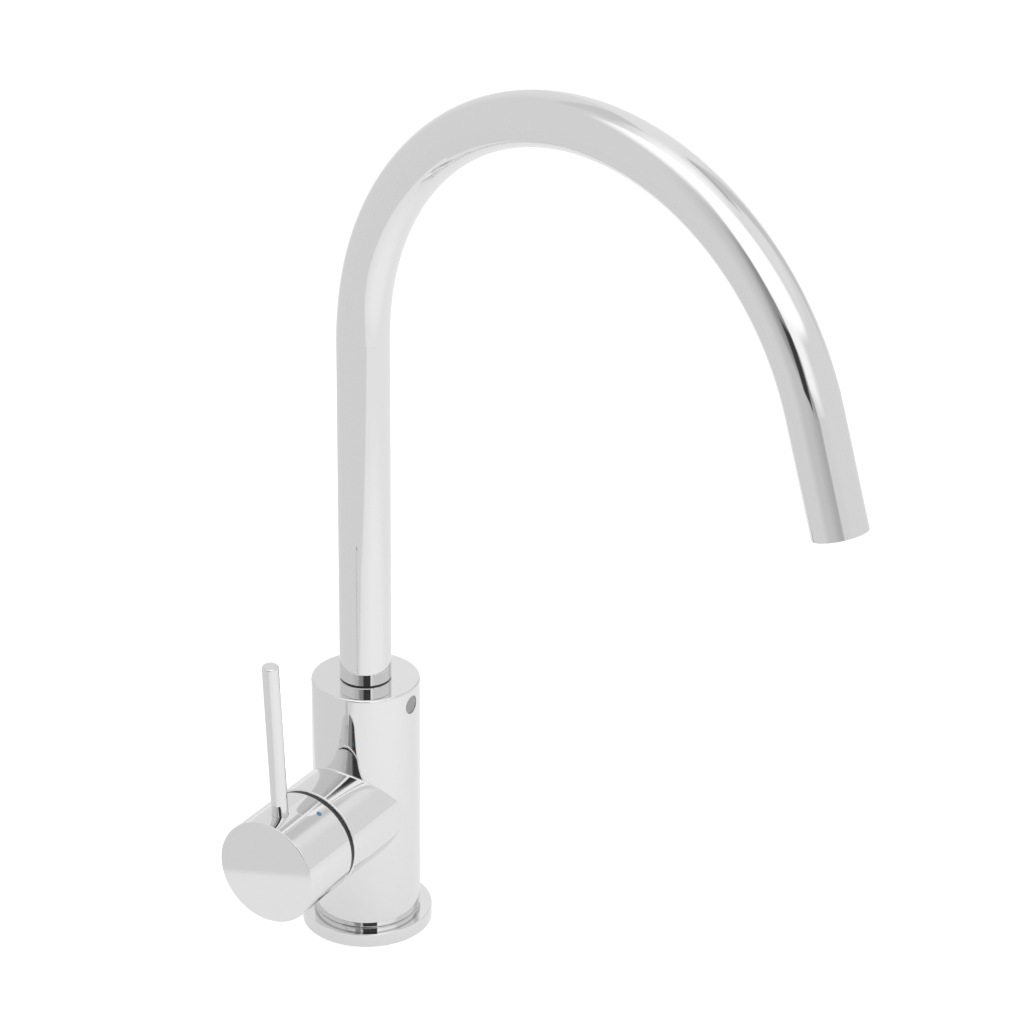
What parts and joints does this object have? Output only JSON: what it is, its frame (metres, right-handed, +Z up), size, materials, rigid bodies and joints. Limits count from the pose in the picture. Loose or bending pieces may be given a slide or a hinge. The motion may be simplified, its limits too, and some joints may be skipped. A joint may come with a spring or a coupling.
{
  "type": "kitchen mixer tap",
  "caption": "Kitchen tap for hot, cold and filtered water: swan neck swivel spout on a round column, side pin lever and status window, clamped through a worktop hole.",
  "frame": {"origin": "middle of the base flange's underside, level with the top of the worktop", "axes": "+Z up along the column, -Y towards the user, -X out along the side branch to the lever"},
  "size_m": [0.1041, 0.2793, 0.4632],
  "materials": {
    "chrome_plate": "polished bright chrome plate",
    "turned_brass": "bare machined brass",
    "zinc_steel": "zinc plated steel, dull",
    "black_rubber": "moulded black rubber, matt",
    "slip_plastic": "dark low friction plastic",
    "cartridge_plastic": "moulded white acetal",
    "alumina": "lapped alumina ceramic",
    "smoked_window": "grey translucent window, smooth",
    "holder_plastic": "black moulded plastic",
    "board_laminate": "green circuit laminate",
    "lamp_resin": "clear diode resin",
    "blue_enamel": "blue enamel",
    "red_enamel": "red enamel",
    "screw_steel": "stainless steel",
    "water_tube": "food safe white plastic tube",
    "aerator_plastic": "light grey moulded plastic"
  },
  "bodies": {
    "column": {"body_shell": "chrome_plate", "base_flange": "chrome_plate", "base_gasket": "black_rubber", "threaded_shank": "turned_brass", "indicator_lens": "smoked_window", "indicator_seal": "black_rubber", "indicator_holder": "holder_plastic", "indicator_board": "board_laminate", "indicator_lamp": "lamp_resin", "cartridge_base": "cartridge_plastic", "cartridge_port_seals": "black_rubber", "fixed_ceramic_disc": "alumina", "cartridge_housing": "cartridge_plastic", "cartridge_nut": "turned_brass", "branch_cover_ring": "slip_plastic", "spout_slip_ring": "slip_plastic", "inner_tube_seal": "black_rubber", "spout_retaining_screw": "screw_steel", "rear_screw_plug": "chrome_plate"},
    "handle": {"handle_hub": "chrome_plate", "pin_lever": "chrome_plate", "moving_ceramic_disc": "alumina", "cartridge_spindle": "turned_brass", "spindle_seal": "black_rubber", "hub_grub_screw": "screw_steel", "hub_screw_plug": "chrome_plate", "index_dot_blue": "blue_enamel", "index_dot_red": "red_enamel"},
    "spout": {"spout_foot": "chrome_plate", "spout_tube": "chrome_plate", "swivel_bushes": "slip_plastic", "spout_seals": "black_rubber", "filtered_water_tube": "water_tube", "aerator_housing": "chrome_plate", "aerator_screen": "aerator_plastic", "aerator_insert": "aerator_plastic", "aerator_washer": "black_rubber", "filtered_nozzle": "cartridge_plastic"},
    "clamp": {"clamp_rubber_washer": "black_rubber", "clamp_steel_washer": "zinc_steel"},
    "nut": {"clamp_nut": "turned_brass"}
  },
  "joints": [
    {"name": "spout_swivel", "type": "hinge", "parent": "column", "child": "spout", "pos_m": [0, 0, 0.1165], "axis": [0, 0, 1], "range_deg": [-63, 87]},
    {"name": "lever_turn", "type": "hinge", "parent": "column", "child": "handle", "pos_m": [-0.0459, 0, 0.0586], "axis": [-1, 0, 0], "range_deg": [-90, 90]},
    {"name": "clamp_slide", "type": "slide", "parent": "column", "child": "clamp", "axis": [0, 0, 1], "range_m": [-0.016, 0.026]},
    {"name": "nut_turn", "type": "hinge", "parent": "clamp", "child": "nut", "pos_m": [0, 0, -0.04], "axis": [0, 0, 1], "range_deg": [-3780, 6120]}
  ],
  "couplings": [
    {"joint": "clamp_slide", "follows": "nut_turn", "m_per_rad": 0.00023873}
  ]
}
